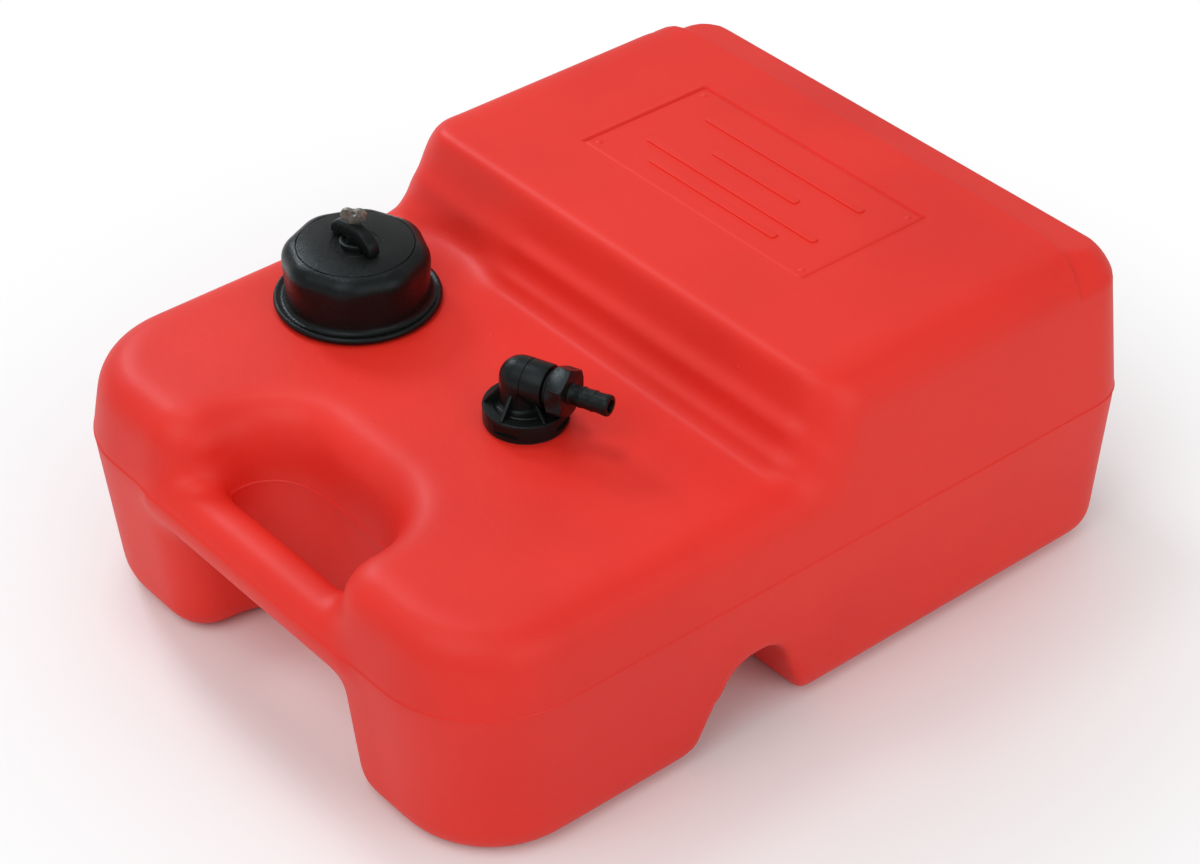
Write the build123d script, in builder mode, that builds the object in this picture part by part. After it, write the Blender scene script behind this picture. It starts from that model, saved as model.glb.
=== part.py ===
from build123d import *

import math
import os

# Portable outboard fuel tank, 12 litres nominal, in millimetres.
# +Z is up, +X is the tank's right side and -Y is its front, where the handle is.
# The origin is on the ground, below the middle of the tank.

# ---------------------------------------------------------------- tank body
TANK_WIDTH = 300.0
TANK_LENGTH = 390.0
SEAM_HEIGHT = 83.0
DECK_HEIGHT = 119.0
TOP_HEIGHT = 160.0
TANK_WALL = 3.0
LOWER_DRAFT = 4.0
UPPER_DRAFT = 6.0
FRONT_CORNER = 52.0
REAR_CORNER = 26.0
GROUND_EDGE = 15.0
DECK_EDGE = 19.0

# The handle is a round bar across a deep notch in the front.
HANDLE_RADIUS = 13.5
HANDLE_HEIGHT = 79.0
HANDLE_PROUD = 2.0
FRONT_LEAN = 3.0
NOTCH_WIDTH = 100.0
NOTCH_DEPTH = 57.0
NOTCH_FRONT_CORNER = 25.0
NOTCH_REAR_CORNER = 28.0

# The raised rear climbs from the deck in three sloping terraces. Each has its height above
# the deck, the line of its front at the top, and the slope of that front.
HUMP_FOOT = -11.0
HUMP_TERRACES = (
    (8.4, -9.0, 0.35),
    (21.2, -1.6, 0.25),
    (41.0, 9.5, 0.36),
)
TERRACE_EDGE = 3.5
HUMP_EDGE = 18.0
HUMP_EDGE_FACETS = 5
HUMP_CORNER = 24.0
RIM_DROP = 4.0
RIM_DEPTH = 18.0
RIM_START = 86.0
RIM_EDGE = 15.0

# A notch in each side, between the front and the rear foot, takes a tie-down strap.
STRAP_NOTCH_START = -68.0
STRAP_NOTCH_END = -1.0
STRAP_NOTCH_HEIGHT = 46.0
STRAP_NOTCH_DEPTH = 52.0
STRAP_NOTCH_FRONT_LEAN = 23.0
STRAP_NOTCH_REAR_LEAN = 18.0
STRAP_NOTCH_CORNER = 15.0

# A shallow panel in the top of the hump.
PANEL_X = -2.0
PANEL_WIDTH = 148.0
PANEL_LENGTH = 76.0
PANEL_DEPTH = 0.8
PANEL_Y = 93.5

# ---------------------------------------------------------------- filler and cap
FILLER_X = -87.5
FILLER_Y = -65.0
NECK_RADIUS = 26.0
NECK_WALL = 4.0
NECK_HEIGHT = 11.0
HAND_ROOM = 62.0

THREAD_CLEARANCE = 0.3
GASKET_THICKNESS = 2.0
SEAL_GAP = 0.2

INSERT_WALL = 3.2
INSERT_TOP = 2.5
INSERT_BEAD = 1.0
BEAD_HEIGHT = 2.4

COVER_FLATS = 64.5
COVER_HEIGHT = 29.0
COVER_TOP = 4.2
COVER_GAP = 1.0
COVER_FLANGE_RADIUS = 38.0
COVER_FLANGE = 3.0
COVER_SHOULDER = 8.0
COVER_CORNER = 5.0
SPIN_CLEARANCE = 0.35

DISC_RADIUS = 26.4
DISC_THICKNESS = 2.0
DISC_GAP = 0.35

# ---------------------------------------------------------------- lock and key
BARREL_RADIUS = 5.8
BARREL_HEAD_RADIUS = 7.2
BARREL_HEAD = 2.4
BARREL_REACH = 5.0
PLUG_RADIUS = 4.0
TURN_CLEARANCE = 0.08
SEAT_GAP = 0.05
NUT_FLATS = 15.0
NUT_THICKNESS = 2.6
TANG_RADIUS = 2.6
TANG_LENGTH = 3.4
CAM_THICKNESS = 1.6
CAM_REACH = 17.0
CAM_WIDTH = 9.0
CLIP_THICKNESS = 0.7
CLIP_RADIUS = 4.4
PLUG_SEAL_RADIUS = 0.6

GRIP_LENGTH = 29.0
GRIP_THICKNESS = 6.0
GRIP_HEIGHT = 10.0
GRIP_LIFT = 0.6

KEY_ANGLE = 44.0
KEY_THICKNESS = 1.8
KEY_BLADE_WIDTH = 5.2
KEY_BLADE_LENGTH = 13.0
KEY_BOW_WIDTH = 12.0
KEY_BOW_HEIGHT = 7.6
KEY_NECK = 3.0
KEYWAY_CLEARANCE = 0.2

VENT_STEM_RADIUS = 1.5
VENT_HEAD_RADIUS = 7.0
VENT_HEAD = 1.0
VENT_BULB_RADIUS = 2.2
VENT_BULB = 1.0
VENT_HOLE_RADIUS = 1.0
VENT_HOLE_CIRCLE = 4.5
VENT_HOLES = 6

# ---------------------------------------------------------------- outlet and pickup
OUTLET_X = 31.0
OUTLET_Y = -64.0
OUTLET_ANGLE = 21.0
COLLAR_RADIUS = 19.0
COLLAR_HEIGHT = 8.5
COLLAR_EDGE = 1.0
COLLAR_SLOT_WIDTH = 12.0
COLLAR_SLOT_HEIGHT = 4.5
COLLAR_SLOT_DEPTH = 1.2
COLLAR_SLOT_START = -67.0
COLLAR_SLOTS = 4
OUTLET_GASKET_THICKNESS = 1.0
SPIGOT_RADIUS = 13.0
SPIGOT_LENGTH = 17.0
BOSS_WALL = 4.0
BOSS_DEPTH = 12.0
BODY_RADIUS = 9.6
BODY_SETBACK = 2.0
BARREL_AXIS_HEIGHT = 21.5
BARREL_LENGTH = 14.0
RIB_THICKNESS = 1.8
RIB_HEIGHT = 8.0
RIB_REACH = 14.5
RIB_COUNT = 6
FUEL_WAY_RADIUS = 3.6
FIT_GAP = 0.05

TAIL_SPIGOT_RADIUS = 6.4
TAIL_SPIGOT_LENGTH = 9.0
TAIL_WASHER_RADIUS = 9.2
TAIL_WASHER = 1.2
TAIL_HEX_FLATS = 20.0
TAIL_HEX = 7.5
TAIL_ROOT_RADIUS = 4.1
TAIL_BORE_RADIUS = 2.8
BARB_RADIUS = 4.75
BARB_LAND = 2.0
BARB_RAMP = 3.6
BARB_COUNT = 3
BARB_LENGTH = 18.5
TAIL_RING_RADIUS = 0.9

TUBE_RADIUS = 5.0
TUBE_WALL = 1.2
TUBE_SOCKET = 12.0
SUMP_CLEARANCE = 3.0
STRAINER_RADIUS = 8.0
STRAINER_WALL = 1.2
STRAINER_LENGTH = 26.0
STRAINER_HEAD = 5.0
STRAINER_WINDOWS = 6
STRAINER_RIB = 2.2
MESH_THICKNESS = 0.5
END_CAP_THICKNESS = 1.6
END_CAP_PLUG = 2.4

# ---------------------------------------------------------------- heights and lines worked out
FRONT_FACE = -TANK_LENGTH / 2 + HANDLE_PROUD
REAR_FACE = TANK_LENGTH / 2
HALF_WIDTH = TANK_WIDTH / 2
HANDLE_Y = -TANK_LENGTH / 2 + HANDLE_RADIUS
NOTCH_REAR = FRONT_FACE + NOTCH_DEPTH

NECK_TOP = DECK_HEIGHT + NECK_HEIGHT
GASKET_BOTTOM = NECK_TOP + SEAL_GAP
INSERT_CEILING = GASKET_BOTTOM + GASKET_THICKNESS
INSERT_CROWN = INSERT_CEILING + INSERT_TOP
INSERT_BORE = NECK_RADIUS + THREAD_CLEARANCE
INSERT_RADIUS = INSERT_BORE + INSERT_WALL
COVER_BOTTOM = DECK_HEIGHT + COVER_GAP
COVER_CROWN = COVER_BOTTOM + COVER_HEIGHT
COVER_BORE = INSERT_RADIUS + SPIN_CLEARANCE
COVER_CEILING = COVER_CROWN - COVER_TOP
BEAD_BOTTOM = COVER_BOTTOM + COVER_FLANGE + BEAD_HEIGHT
BARREL_BOTTOM = COVER_CEILING - BARREL_REACH
HEAD_TOP = COVER_CROWN + BARREL_HEAD
TANG_BOTTOM = BARREL_BOTTOM - TANG_LENGTH
GRIP_BOTTOM = COVER_CROWN + GRIP_LIFT
GRIP_TOP = GRIP_BOTTOM + GRIP_HEIGHT
KEY_TIP = GRIP_TOP - KEY_NECK - KEY_BLADE_LENGTH

COLLAR_BOTTOM = DECK_HEIGHT + OUTLET_GASKET_THICKNESS
COLLAR_TOP = COLLAR_BOTTOM + COLLAR_HEIGHT
BARREL_AXIS = DECK_HEIGHT + BARREL_AXIS_HEIGHT
SPIGOT_BOTTOM = COLLAR_BOTTOM - SPIGOT_LENGTH
TUBE_TOP = SPIGOT_BOTTOM + TUBE_SOCKET
STRAINER_BOTTOM = TANK_WALL + SUMP_CLEARANCE
STRAINER_TOP = STRAINER_BOTTOM + STRAINER_LENGTH
TUBE_BOTTOM = STRAINER_TOP - STRAINER_HEAD


# ================================================================ tank shell
def corners(outline, side, y):
    """The pair of an outline's corners that stand at -side and +side, on the line y."""
    return outline.vertices().filter_by(
        lambda corner: abs(abs(corner.X) - side) < 0.01 and abs(corner.Y - y) < 0.01)


def notched_outline(inset, lean=0):
    """The tank seen from above: a rounded rectangle with the handle's notch in its front."""
    side = HALF_WIDTH - inset
    front = FRONT_FACE + inset + lean
    rear = REAR_FACE - inset
    notch_side = NOTCH_WIDTH / 2 + inset
    notch_rear = NOTCH_REAR + inset
    with BuildSketch() as outline:
        with BuildLine():
            Polyline(
                (-side, front),
                (-notch_side, front),
                (-notch_side, notch_rear),
                (notch_side, notch_rear),
                (notch_side, front),
                (side, front),
                (side, rear),
                (-side, rear),
                close=True,
            )
        make_face()
        fillet(corners(outline, side, rear), REAR_CORNER - inset)
        fillet(corners(outline, side, front), FRONT_CORNER - inset)
        fillet(corners(outline, notch_side, front), NOTCH_FRONT_CORNER - inset)
        fillet(corners(outline, notch_side, notch_rear), NOTCH_REAR_CORNER + inset)
    return outline.sketch


def block_outline(front, rear, side, front_corner, rear_corner):
    """A rounded rectangle for one of the blocks that make the raised rear."""
    with BuildSketch() as outline:
        with BuildLine():
            Polyline((-side, front), (side, front), (side, rear), (-side, rear), close=True)
        make_face()
        fillet(corners(outline, side, front), front_corner)
        fillet(corners(outline, side, rear), rear_corner)
    return outline.sketch


def upper_inset(height):
    """How far the drafted upper half stands in from the seam at a height."""
    return (height - SEAM_HEIGHT) * math.tan(math.radians(UPPER_DRAFT))


def lower_half(inset):
    draft = (SEAM_HEIGHT - inset) * math.tan(math.radians(LOWER_DRAFT))
    with BuildPart() as lower:
        with BuildSketch(Plane.XY.offset(SEAM_HEIGHT)):
            add(notched_outline(inset))
        with BuildSketch(Plane.XY.offset(inset)):
            add(notched_outline(inset + draft, FRONT_LEAN))
        loft(ruled=True)
        fillet(lower.faces().sort_by(Axis.Z)[0].edges(), GROUND_EDGE - inset)
    return lower.part


def deck_half(inset):
    top = DECK_HEIGHT - inset
    with BuildPart() as deck:
        with BuildSketch(Plane.XY.offset(SEAM_HEIGHT)):
            add(notched_outline(inset))
        with BuildSketch(Plane.XY.offset(top)):
            add(notched_outline(inset + upper_inset(top), FRONT_LEAN))
        loft(ruled=True)
        fillet(deck.faces().sort_by(Axis.Z)[-1].edges(), DECK_EDGE - inset)
    return deck.part


def rim_block(inset):
    """The rear edge, one low step below the top."""
    top = TOP_HEIGHT - RIM_DROP - inset
    draft = upper_inset(top)
    corner = REAR_CORNER - inset
    with BuildPart() as rim:
        with BuildSketch(Plane.XY.offset(SEAM_HEIGHT)):
            add(block_outline(RIM_START + inset, REAR_FACE - inset, HALF_WIDTH - inset, corner,
                              corner))
        with BuildSketch(Plane.XY.offset(top)):
            add(block_outline(RIM_START + inset, REAR_FACE - inset - draft,
                              HALF_WIDTH - inset - draft, corner, corner - draft))
        loft(ruled=True)
        fillet(rim.faces().sort_by(Axis.Z)[-1].edges(), RIM_EDGE - inset)
    return rim.part


def rounded_by(edge, below):
    """How far a rounded edge stands back at a depth below its top."""
    return edge - math.sqrt(edge ** 2 - max(edge - below, 0) ** 2)


def terrace(inset, height, front_line, slope):
    """One terrace, lofted through level sections: tight at its front, soft at its sides."""
    top = DECK_HEIGHT + height - inset
    side_edge = HUMP_EDGE - inset
    front_edge = max(TERRACE_EDGE - inset, 1)
    levels = {SEAM_HEIGHT, DECK_HEIGHT - inset, top - front_edge / 3}
    for facet in range(HUMP_EDGE_FACETS + 1):
        turned = math.radians(90 * facet / HUMP_EDGE_FACETS)
        levels.add(top - side_edge + side_edge * math.sin(turned))
    with BuildPart() as block:
        for level in sorted(levels):
            below = top - level
            rounding = rounded_by(side_edge, below)
            shrink = inset + upper_inset(level) + rounding
            corner = HUMP_CORNER - inset - rounding
            front = max(front_line - slope * below, HUMP_FOOT) + inset
            front += rounded_by(front_edge, below)
            with BuildSketch(Plane.XY.offset(level)):
                add(block_outline(front, REAR_FACE - RIM_DEPTH - shrink, HALF_WIDTH - shrink,
                                  corner, corner))
        loft(ruled=True)
        # The foot is cut back in an arc so that a hand can turn the cap.
        with BuildSketch(Plane.XY.offset(SEAM_HEIGHT)):
            with Locations((FILLER_X, FILLER_Y)):
                Circle(HAND_ROOM + inset)
        extrude(amount=TOP_HEIGHT - SEAM_HEIGHT, mode=Mode.SUBTRACT)
    return block.part


def handle_bar(inset):
    reach = NOTCH_WIDTH / 2 + DECK_EDGE + inset
    with BuildPart() as bar:
        with BuildSketch(Plane.YZ.offset(-reach)):
            with Locations((HANDLE_Y, HANDLE_HEIGHT)):
                Circle(HANDLE_RADIUS - inset)
        extrude(amount=2 * reach)
        with Locations((-reach, HANDLE_Y, HANDLE_HEIGHT), (reach, HANDLE_Y, HANDLE_HEIGHT)):
            Sphere(HANDLE_RADIUS - inset)
    return bar.part


def strap_notch_profile(grow):
    """The notch seen from the side: rounded where it meets the ground and at its top."""
    below = -GROUND_EDGE
    with BuildSketch() as profile:
        with BuildLine() as edge:
            FilletPolyline(
                (STRAP_NOTCH_START - 2 * GROUND_EDGE, 0),
                (STRAP_NOTCH_START, 0),
                (STRAP_NOTCH_START + STRAP_NOTCH_FRONT_LEAN, STRAP_NOTCH_HEIGHT),
                (STRAP_NOTCH_END - STRAP_NOTCH_REAR_LEAN, STRAP_NOTCH_HEIGHT),
                (STRAP_NOTCH_END, 0),
                (STRAP_NOTCH_END + 2 * GROUND_EDGE, 0),
                radius=STRAP_NOTCH_CORNER,
            )
            Polyline(
                edge.line @ 1,
                (STRAP_NOTCH_END + 2 * GROUND_EDGE, below),
                (STRAP_NOTCH_START - 2 * GROUND_EDGE, below),
                edge.line @ 0,
            )
        make_face()
        if grow:
            offset(amount=grow)
    return profile.sketch


def tank_form(inset):
    """The whole blow-moulded form, shrunk by inset on every side."""
    blocks = [terrace(inset, *sizes) for sizes in reversed(HUMP_TERRACES)]
    blocks += [deck_half(inset), rim_block(inset), lower_half(inset), handle_bar(inset)]
    with BuildPart() as form:
        for block in blocks:
            add(block)
        for side in (-1, 1):
            with BuildSketch(Plane.YZ.offset(side * HALF_WIDTH)):
                add(strap_notch_profile(inset))
            extrude(amount=-side * (STRAP_NOTCH_DEPTH + inset), mode=Mode.SUBTRACT)
    return form.part


outer_form = tank_form(0)
fuel_space = tank_form(TANK_WALL)

with BuildPart() as tank_shell:
    add(outer_form)
    # The filler neck stands on the deck, and the outlet's boss hangs below it.
    with BuildSketch(Plane.XY.offset(DECK_HEIGHT - TANK_WALL)):
        with Locations((FILLER_X, FILLER_Y)):
            Circle(NECK_RADIUS)
    extrude(amount=TANK_WALL + NECK_HEIGHT)
    add(fuel_space, mode=Mode.SUBTRACT)
    with BuildSketch(Plane.XY.offset(DECK_HEIGHT - TANK_WALL)):
        with Locations((OUTLET_X, OUTLET_Y)):
            Circle(SPIGOT_RADIUS + FIT_GAP + BOSS_WALL)
    extrude(amount=-(BOSS_DEPTH - TANK_WALL))
    with BuildSketch(Plane.XY.offset(DECK_HEIGHT)):
        with Locations((OUTLET_X, OUTLET_Y)):
            Circle(SPIGOT_RADIUS + FIT_GAP)
    extrude(amount=-BOSS_DEPTH, mode=Mode.SUBTRACT)
    with BuildSketch(Plane.XY.offset(NECK_TOP)):
        with Locations((FILLER_X, FILLER_Y)):
            Circle(NECK_RADIUS - NECK_WALL)
    extrude(amount=-(NECK_HEIGHT + TANK_WALL), mode=Mode.SUBTRACT)
    with BuildSketch(Plane.XY.offset(TOP_HEIGHT)):
        with Locations((PANEL_X, PANEL_Y)):
            RectangleRounded(PANEL_WIDTH, PANEL_LENGTH, 2)
    extrude(amount=-PANEL_DEPTH, mode=Mode.SUBTRACT)
tank_shell.part.label = "tank_shell"
print("fuel space", round(fuel_space.volume / 1e6, 2), "litres")


# ================================================================ filler cap
def filler_plane(height):
    return Plane.XY.offset(height).shift_origin((FILLER_X, FILLER_Y, height))


def ring_sketch(outer, inner):
    """A flat ring, for sketches that stand on an axis."""
    with BuildSketch() as ring:
        Circle(outer)
        Circle(inner, mode=Mode.SUBTRACT)
    return ring.sketch


with BuildPart() as cap_gasket:
    with BuildSketch(filler_plane(GASKET_BOTTOM)):
        add(ring_sketch(INSERT_BORE - THREAD_CLEARANCE, NECK_RADIUS - NECK_WALL))
    extrude(amount=GASKET_THICKNESS - SEAL_GAP)
cap_gasket.part.label = "cap_gasket"

# The insert is the cap's threaded cup. A bead round it snaps into the cover's groove.
with BuildPart() as cap_insert:
    with BuildSketch(filler_plane(COVER_BOTTOM + COVER_GAP)):
        Circle(INSERT_RADIUS)
    extrude(amount=INSERT_CROWN - COVER_BOTTOM - COVER_GAP)
    with BuildSketch(filler_plane(BEAD_BOTTOM)):
        Circle(INSERT_RADIUS + INSERT_BEAD)
    extrude(amount=BEAD_HEIGHT)
    with BuildSketch(filler_plane(COVER_BOTTOM + COVER_GAP)):
        Circle(INSERT_BORE)
    extrude(amount=INSERT_CEILING - COVER_BOTTOM - COVER_GAP, mode=Mode.SUBTRACT)
    with BuildSketch(filler_plane(INSERT_CEILING)):
        Circle(VENT_STEM_RADIUS + TURN_CLEARANCE)
        with PolarLocations(VENT_HOLE_CIRCLE, VENT_HOLES):
            Circle(VENT_HOLE_RADIUS)
    extrude(amount=INSERT_TOP, mode=Mode.SUBTRACT)
cap_insert.part.label = "cap_insert"

# The vent is a rubber umbrella: its head seals the holes from below, its bulb holds it.
with BuildPart() as vent_valve:
    with BuildSketch(filler_plane(INSERT_CEILING - VENT_HEAD - SEAT_GAP)):
        Circle(VENT_HEAD_RADIUS)
    extrude(amount=VENT_HEAD)
    with BuildSketch(filler_plane(INSERT_CEILING - SEAT_GAP)):
        Circle(VENT_STEM_RADIUS)
    extrude(amount=INSERT_TOP + 2 * SEAT_GAP)
    with BuildSketch(filler_plane(INSERT_CROWN + SEAT_GAP)):
        Circle(VENT_BULB_RADIUS)
    extrude(amount=VENT_BULB, taper=20)
vent_valve.part.label = "vent_valve"

with BuildPart() as cap_cover:
    with BuildSketch(filler_plane(COVER_BOTTOM)) as cover_outline:
        RegularPolygon(COVER_FLATS / 2, 8, major_radius=False, rotation=0)
        fillet(cover_outline.vertices(), COVER_CORNER)
    extrude(amount=COVER_HEIGHT)
    fillet(cap_cover.faces().sort_by(Axis.Z)[-1].edges(), COVER_SHOULDER)
    with BuildSketch(filler_plane(COVER_BOTTOM)):
        Circle(COVER_FLANGE_RADIUS)
    extrude(amount=COVER_FLANGE)
    flange_rim = cap_cover.edges().filter_by(GeomType.CIRCLE).sort_by(SortBy.RADIUS)[-2:]
    fillet(flange_rim, COVER_FLANGE / 2 - 0.3)
    with BuildSketch(filler_plane(COVER_BOTTOM)):
        Circle(COVER_BORE)
    extrude(amount=COVER_CEILING - COVER_BOTTOM, mode=Mode.SUBTRACT)
    with BuildSketch(filler_plane(BEAD_BOTTOM - SPIN_CLEARANCE)):
        Circle(COVER_BORE + INSERT_BEAD)
    extrude(amount=BEAD_HEIGHT + 2 * SPIN_CLEARANCE, mode=Mode.SUBTRACT)
    with BuildSketch(filler_plane(COVER_CROWN - DISC_THICKNESS)):
        Circle(DISC_RADIUS + DISC_GAP)
    extrude(amount=DISC_THICKNESS, mode=Mode.SUBTRACT)
    with BuildSketch(filler_plane(COVER_CEILING)):
        Circle(BARREL_RADIUS + SEAT_GAP)
    extrude(amount=COVER_TOP, mode=Mode.SUBTRACT)
cap_cover.part.label = "cap_cover"

with BuildPart() as cap_top_disc:
    with BuildSketch(filler_plane(COVER_CROWN - DISC_THICKNESS)):
        add(ring_sketch(DISC_RADIUS, BARREL_RADIUS + SEAT_GAP))
    extrude(amount=DISC_THICKNESS)
cap_top_disc.part.label = "cap_top_disc"

# ================================================================ lock
with BuildPart() as lock_barrel:
    with BuildSketch(filler_plane(BARREL_BOTTOM)):
        Circle(BARREL_RADIUS)
    extrude(amount=COVER_CROWN - BARREL_BOTTOM)
    with BuildSketch(filler_plane(COVER_CROWN)):
        Circle(BARREL_HEAD_RADIUS)
    extrude(amount=BARREL_HEAD)
    fillet(lock_barrel.edges().group_by(Axis.Z)[-1], 0.8)
    with BuildSketch(filler_plane(BARREL_BOTTOM)):
        Circle(PLUG_RADIUS + TURN_CLEARANCE)
    extrude(amount=HEAD_TOP - BARREL_BOTTOM, mode=Mode.SUBTRACT)
    with BuildSketch(filler_plane(COVER_CEILING)):
        Circle(PLUG_RADIUS + PLUG_SEAL_RADIUS)
    extrude(amount=2 * PLUG_SEAL_RADIUS, mode=Mode.SUBTRACT)
lock_barrel.part.label = "lock_barrel"

with BuildPart() as lock_barrel_nut:
    with BuildSketch(filler_plane(COVER_CEILING - NUT_THICKNESS)):
        RegularPolygon(NUT_FLATS / 2, 6, major_radius=False)
        Circle(BARREL_RADIUS + SEAT_GAP, mode=Mode.SUBTRACT)
    extrude(amount=NUT_THICKNESS)
lock_barrel_nut.part.label = "lock_barrel_nut"


def key_blade_plane(height):
    """Across the keyway, turned to the key's own plane."""
    return Plane.XY.offset(height).shift_origin((FILLER_X, FILLER_Y, height)).rotated(
        (0, 0, KEY_ANGLE))


# The knob is a turned plug with a half-moon finger grip across its top.
with BuildPart() as lock_knob:
    with BuildSketch(Plane.XZ.offset(-(FILLER_Y + GRIP_THICKNESS / 2))) as grip_side:
        with BuildLine():
            chord = Line(
                (FILLER_X - GRIP_LENGTH / 2, GRIP_BOTTOM),
                (FILLER_X + GRIP_LENGTH / 2, GRIP_BOTTOM),
            )
            ThreePointArc(chord @ 1, (FILLER_X, GRIP_TOP), chord @ 0)
        make_face()
    extrude(amount=GRIP_THICKNESS)
    fillet(lock_knob.edges().filter_by(GeomType.CIRCLE), 1.2)
    with BuildSketch(filler_plane(GRIP_BOTTOM)):
        Circle(BARREL_HEAD_RADIUS + SPIN_CLEARANCE)
    extrude(amount=HEAD_TOP + SPIN_CLEARANCE - GRIP_BOTTOM, mode=Mode.SUBTRACT)
    with BuildSketch(filler_plane(BARREL_BOTTOM)):
        Circle(PLUG_RADIUS)
    extrude(amount=HEAD_TOP + GRIP_THICKNESS / 2 - BARREL_BOTTOM)
    with BuildSketch(filler_plane(TANG_BOTTOM)):
        Circle(TANG_RADIUS)
    extrude(amount=TANG_LENGTH)
    with BuildSketch(filler_plane(COVER_CEILING)):
        add(ring_sketch(PLUG_RADIUS, PLUG_RADIUS - PLUG_SEAL_RADIUS))
    extrude(amount=2 * PLUG_SEAL_RADIUS, mode=Mode.SUBTRACT)
    with BuildSketch(key_blade_plane(KEY_TIP - KEYWAY_CLEARANCE)):
        Rectangle(KEY_BLADE_WIDTH + 2 * KEYWAY_CLEARANCE, KEY_THICKNESS + 2 * KEYWAY_CLEARANCE)
    extrude(amount=GRIP_TOP - KEY_TIP + KEYWAY_CLEARANCE, mode=Mode.SUBTRACT)
lock_knob.part.label = "lock_knob"

with BuildPart() as lock_seal:
    with BuildSketch(Plane.XZ.offset(-FILLER_Y)):
        with Locations((FILLER_X + PLUG_RADIUS, COVER_CEILING + PLUG_SEAL_RADIUS)):
            Circle(PLUG_SEAL_RADIUS - SEAT_GAP)
    revolve(axis=Axis((FILLER_X, FILLER_Y, 0), (0, 0, 1)))
lock_seal.part.label = "lock_seal"

# The cam is the driver that couples the cover to the insert when the lock is open.
with BuildPart() as lock_cam:
    with BuildSketch(filler_plane(BARREL_BOTTOM - SEAT_GAP - CAM_THICKNESS)):
        SlotOverall(2 * CAM_REACH, CAM_WIDTH)
        Circle(TANG_RADIUS + SEAT_GAP, mode=Mode.SUBTRACT)
    extrude(amount=CAM_THICKNESS)
lock_cam.part.label = "lock_cam"

with BuildPart() as lock_clip:
    with BuildSketch(filler_plane(TANG_BOTTOM + CLIP_THICKNESS)):
        add(ring_sketch(CLIP_RADIUS, TANG_RADIUS + SEAT_GAP))
        with Locations((CLIP_RADIUS, 0)):
            Rectangle(2 * CLIP_RADIUS, TANG_RADIUS, mode=Mode.SUBTRACT)
    extrude(amount=-CLIP_THICKNESS)
lock_clip.part.label = "lock_clip"

# The key stands in the knob's keyway, turned to face the front right of the tank.
key_line = (math.cos(math.radians(KEY_ANGLE)), math.sin(math.radians(KEY_ANGLE)), 0)
key_side_plane = Plane(origin=(FILLER_X, FILLER_Y, 0), x_dir=key_line,
                       z_dir=(key_line[1], -key_line[0], 0))
with BuildPart() as key:
    with BuildSketch(key_side_plane):
        with Locations((0, GRIP_TOP + KEY_BOW_HEIGHT / 2)):
            SlotOverall(KEY_BOW_WIDTH, KEY_BOW_HEIGHT)
        with Locations((0, GRIP_TOP - KEY_NECK / 2 + 1)):
            Rectangle(KEY_BLADE_WIDTH, KEY_NECK + 2)
        with Locations((0, KEY_TIP + KEY_BLADE_LENGTH / 2)):
            Rectangle(KEY_BLADE_WIDTH, KEY_BLADE_LENGTH)
    extrude(amount=KEY_THICKNESS / 2, both=True)
key.part.label = "key"


# ================================================================ outlet
BARB_DIRECTION = (math.cos(math.radians(OUTLET_ANGLE)), math.sin(math.radians(OUTLET_ANGLE)), 0)


def outlet_plane(height, setback=0):
    """Level with the ground, on the outlet's axis or set back from it along the barb's line."""
    x = OUTLET_X - setback * BARB_DIRECTION[0]
    y = OUTLET_Y - setback * BARB_DIRECTION[1]
    return Plane(origin=(x, y, height), x_dir=BARB_DIRECTION, z_dir=(0, 0, 1))


def barrel_plane(distance):
    """Across the barrel, at a distance from the outlet's axis towards the barb."""
    x = OUTLET_X + distance * BARB_DIRECTION[0]
    y = OUTLET_Y + distance * BARB_DIRECTION[1]
    return Plane(origin=(x, y, BARREL_AXIS), x_dir=(0, 0, 1), z_dir=BARB_DIRECTION)


def barrel_section():
    """Upright through the barrel's axis, with X along it from the outlet's axis."""
    return Plane(origin=barrel_plane(0).origin, x_dir=BARB_DIRECTION,
                 z_dir=(BARB_DIRECTION[1], -BARB_DIRECTION[0], 0))


BARREL_MOUTH = BARREL_LENGTH - BODY_SETBACK
TAIL_START = BARREL_MOUTH - TAIL_SPIGOT_LENGTH + FIT_GAP
WASHER_FACE = BARREL_MOUTH + 2 * TAIL_RING_RADIUS
HEX_FACE = WASHER_FACE + TAIL_WASHER
BARB_START = HEX_FACE + TAIL_HEX
TAIL_END = BARB_START + BARB_LENGTH

with BuildPart() as outlet_gasket:
    with BuildSketch(outlet_plane(DECK_HEIGHT)):
        add(ring_sketch(COLLAR_RADIUS - 1, SPIGOT_RADIUS + FIT_GAP))
    extrude(amount=OUTLET_GASKET_THICKNESS)
outlet_gasket.part.label = "outlet_gasket"

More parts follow.
